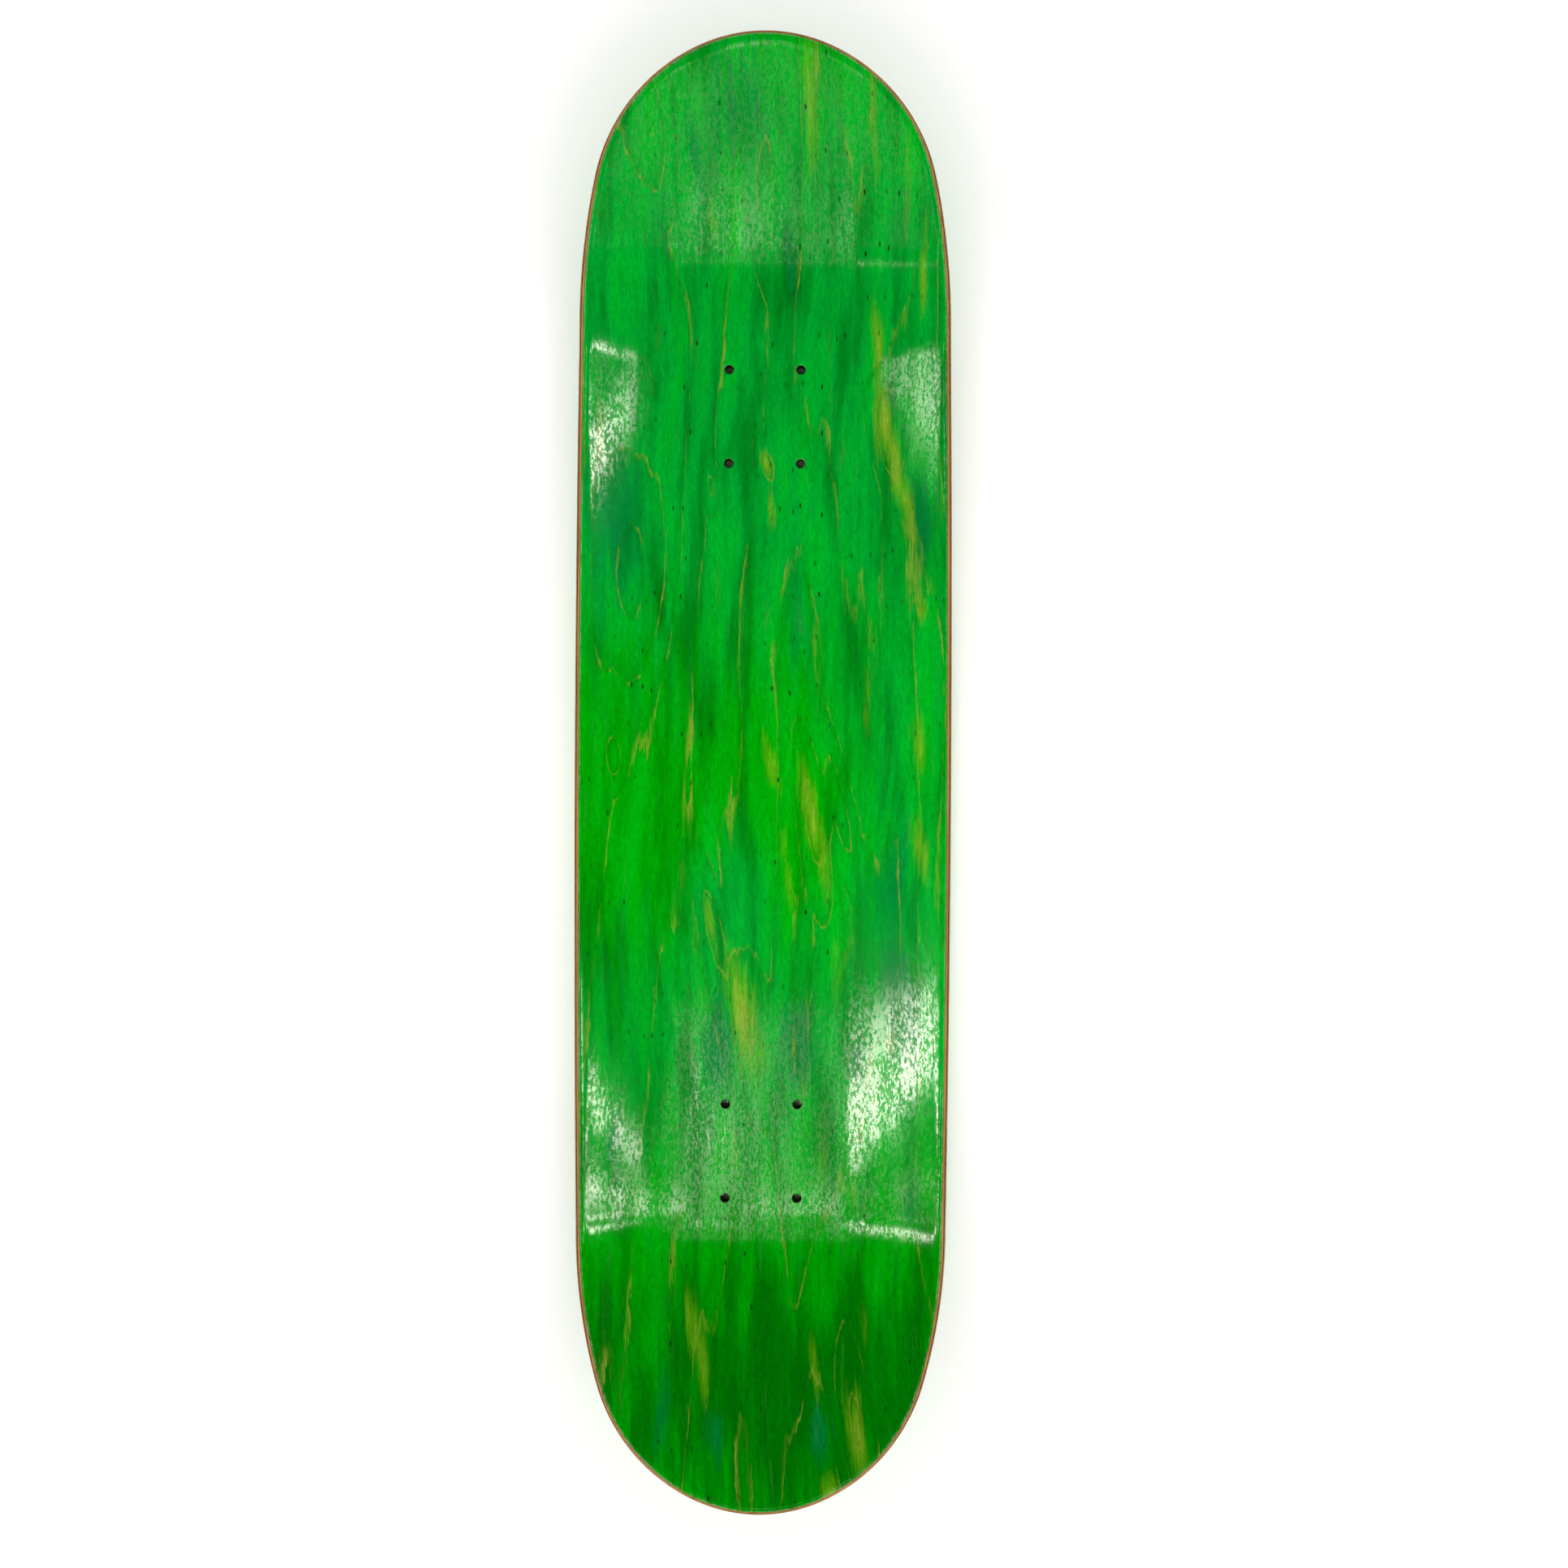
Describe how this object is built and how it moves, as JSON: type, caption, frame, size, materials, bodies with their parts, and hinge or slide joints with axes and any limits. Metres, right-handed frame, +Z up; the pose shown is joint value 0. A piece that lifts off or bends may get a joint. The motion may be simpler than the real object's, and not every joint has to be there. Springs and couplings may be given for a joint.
{
  "type": "skateboard deck",
  "caption": "Bare double-kick skateboard deck pressed from maple veneers, with a concave riding face, raised nose and tail, and two truck bolt patterns.",
  "frame": {"origin": "on the flat underside, midway between the two truck bolt patterns, on the middle line", "axes": "+X along the board towards the nose, +Y across it to the rider's left facing the nose, +Z up out of the concave riding face"},
  "size_m": [0.8255, 0.2158, 0.0573],
  "materials": {
    "stained_maple": "dyed green rotary-cut maple under a clear gloss lacquer",
    "natural_maple": "undyed maple veneer, grain along the board, sanded and lacquered edge",
    "cross_maple": "undyed maple veneer, grain across the board, darker end grain on the rails"
  },
  "bodies": {
    "root": {"bottom_face_ply": "stained_maple", "lower_core_ply": "natural_maple", "lower_cross_ply": "cross_maple", "centre_core_ply": "natural_maple", "upper_cross_ply": "cross_maple", "upper_core_ply": "natural_maple", "top_face_ply": "stained_maple"}
  },
  "joints": []
}
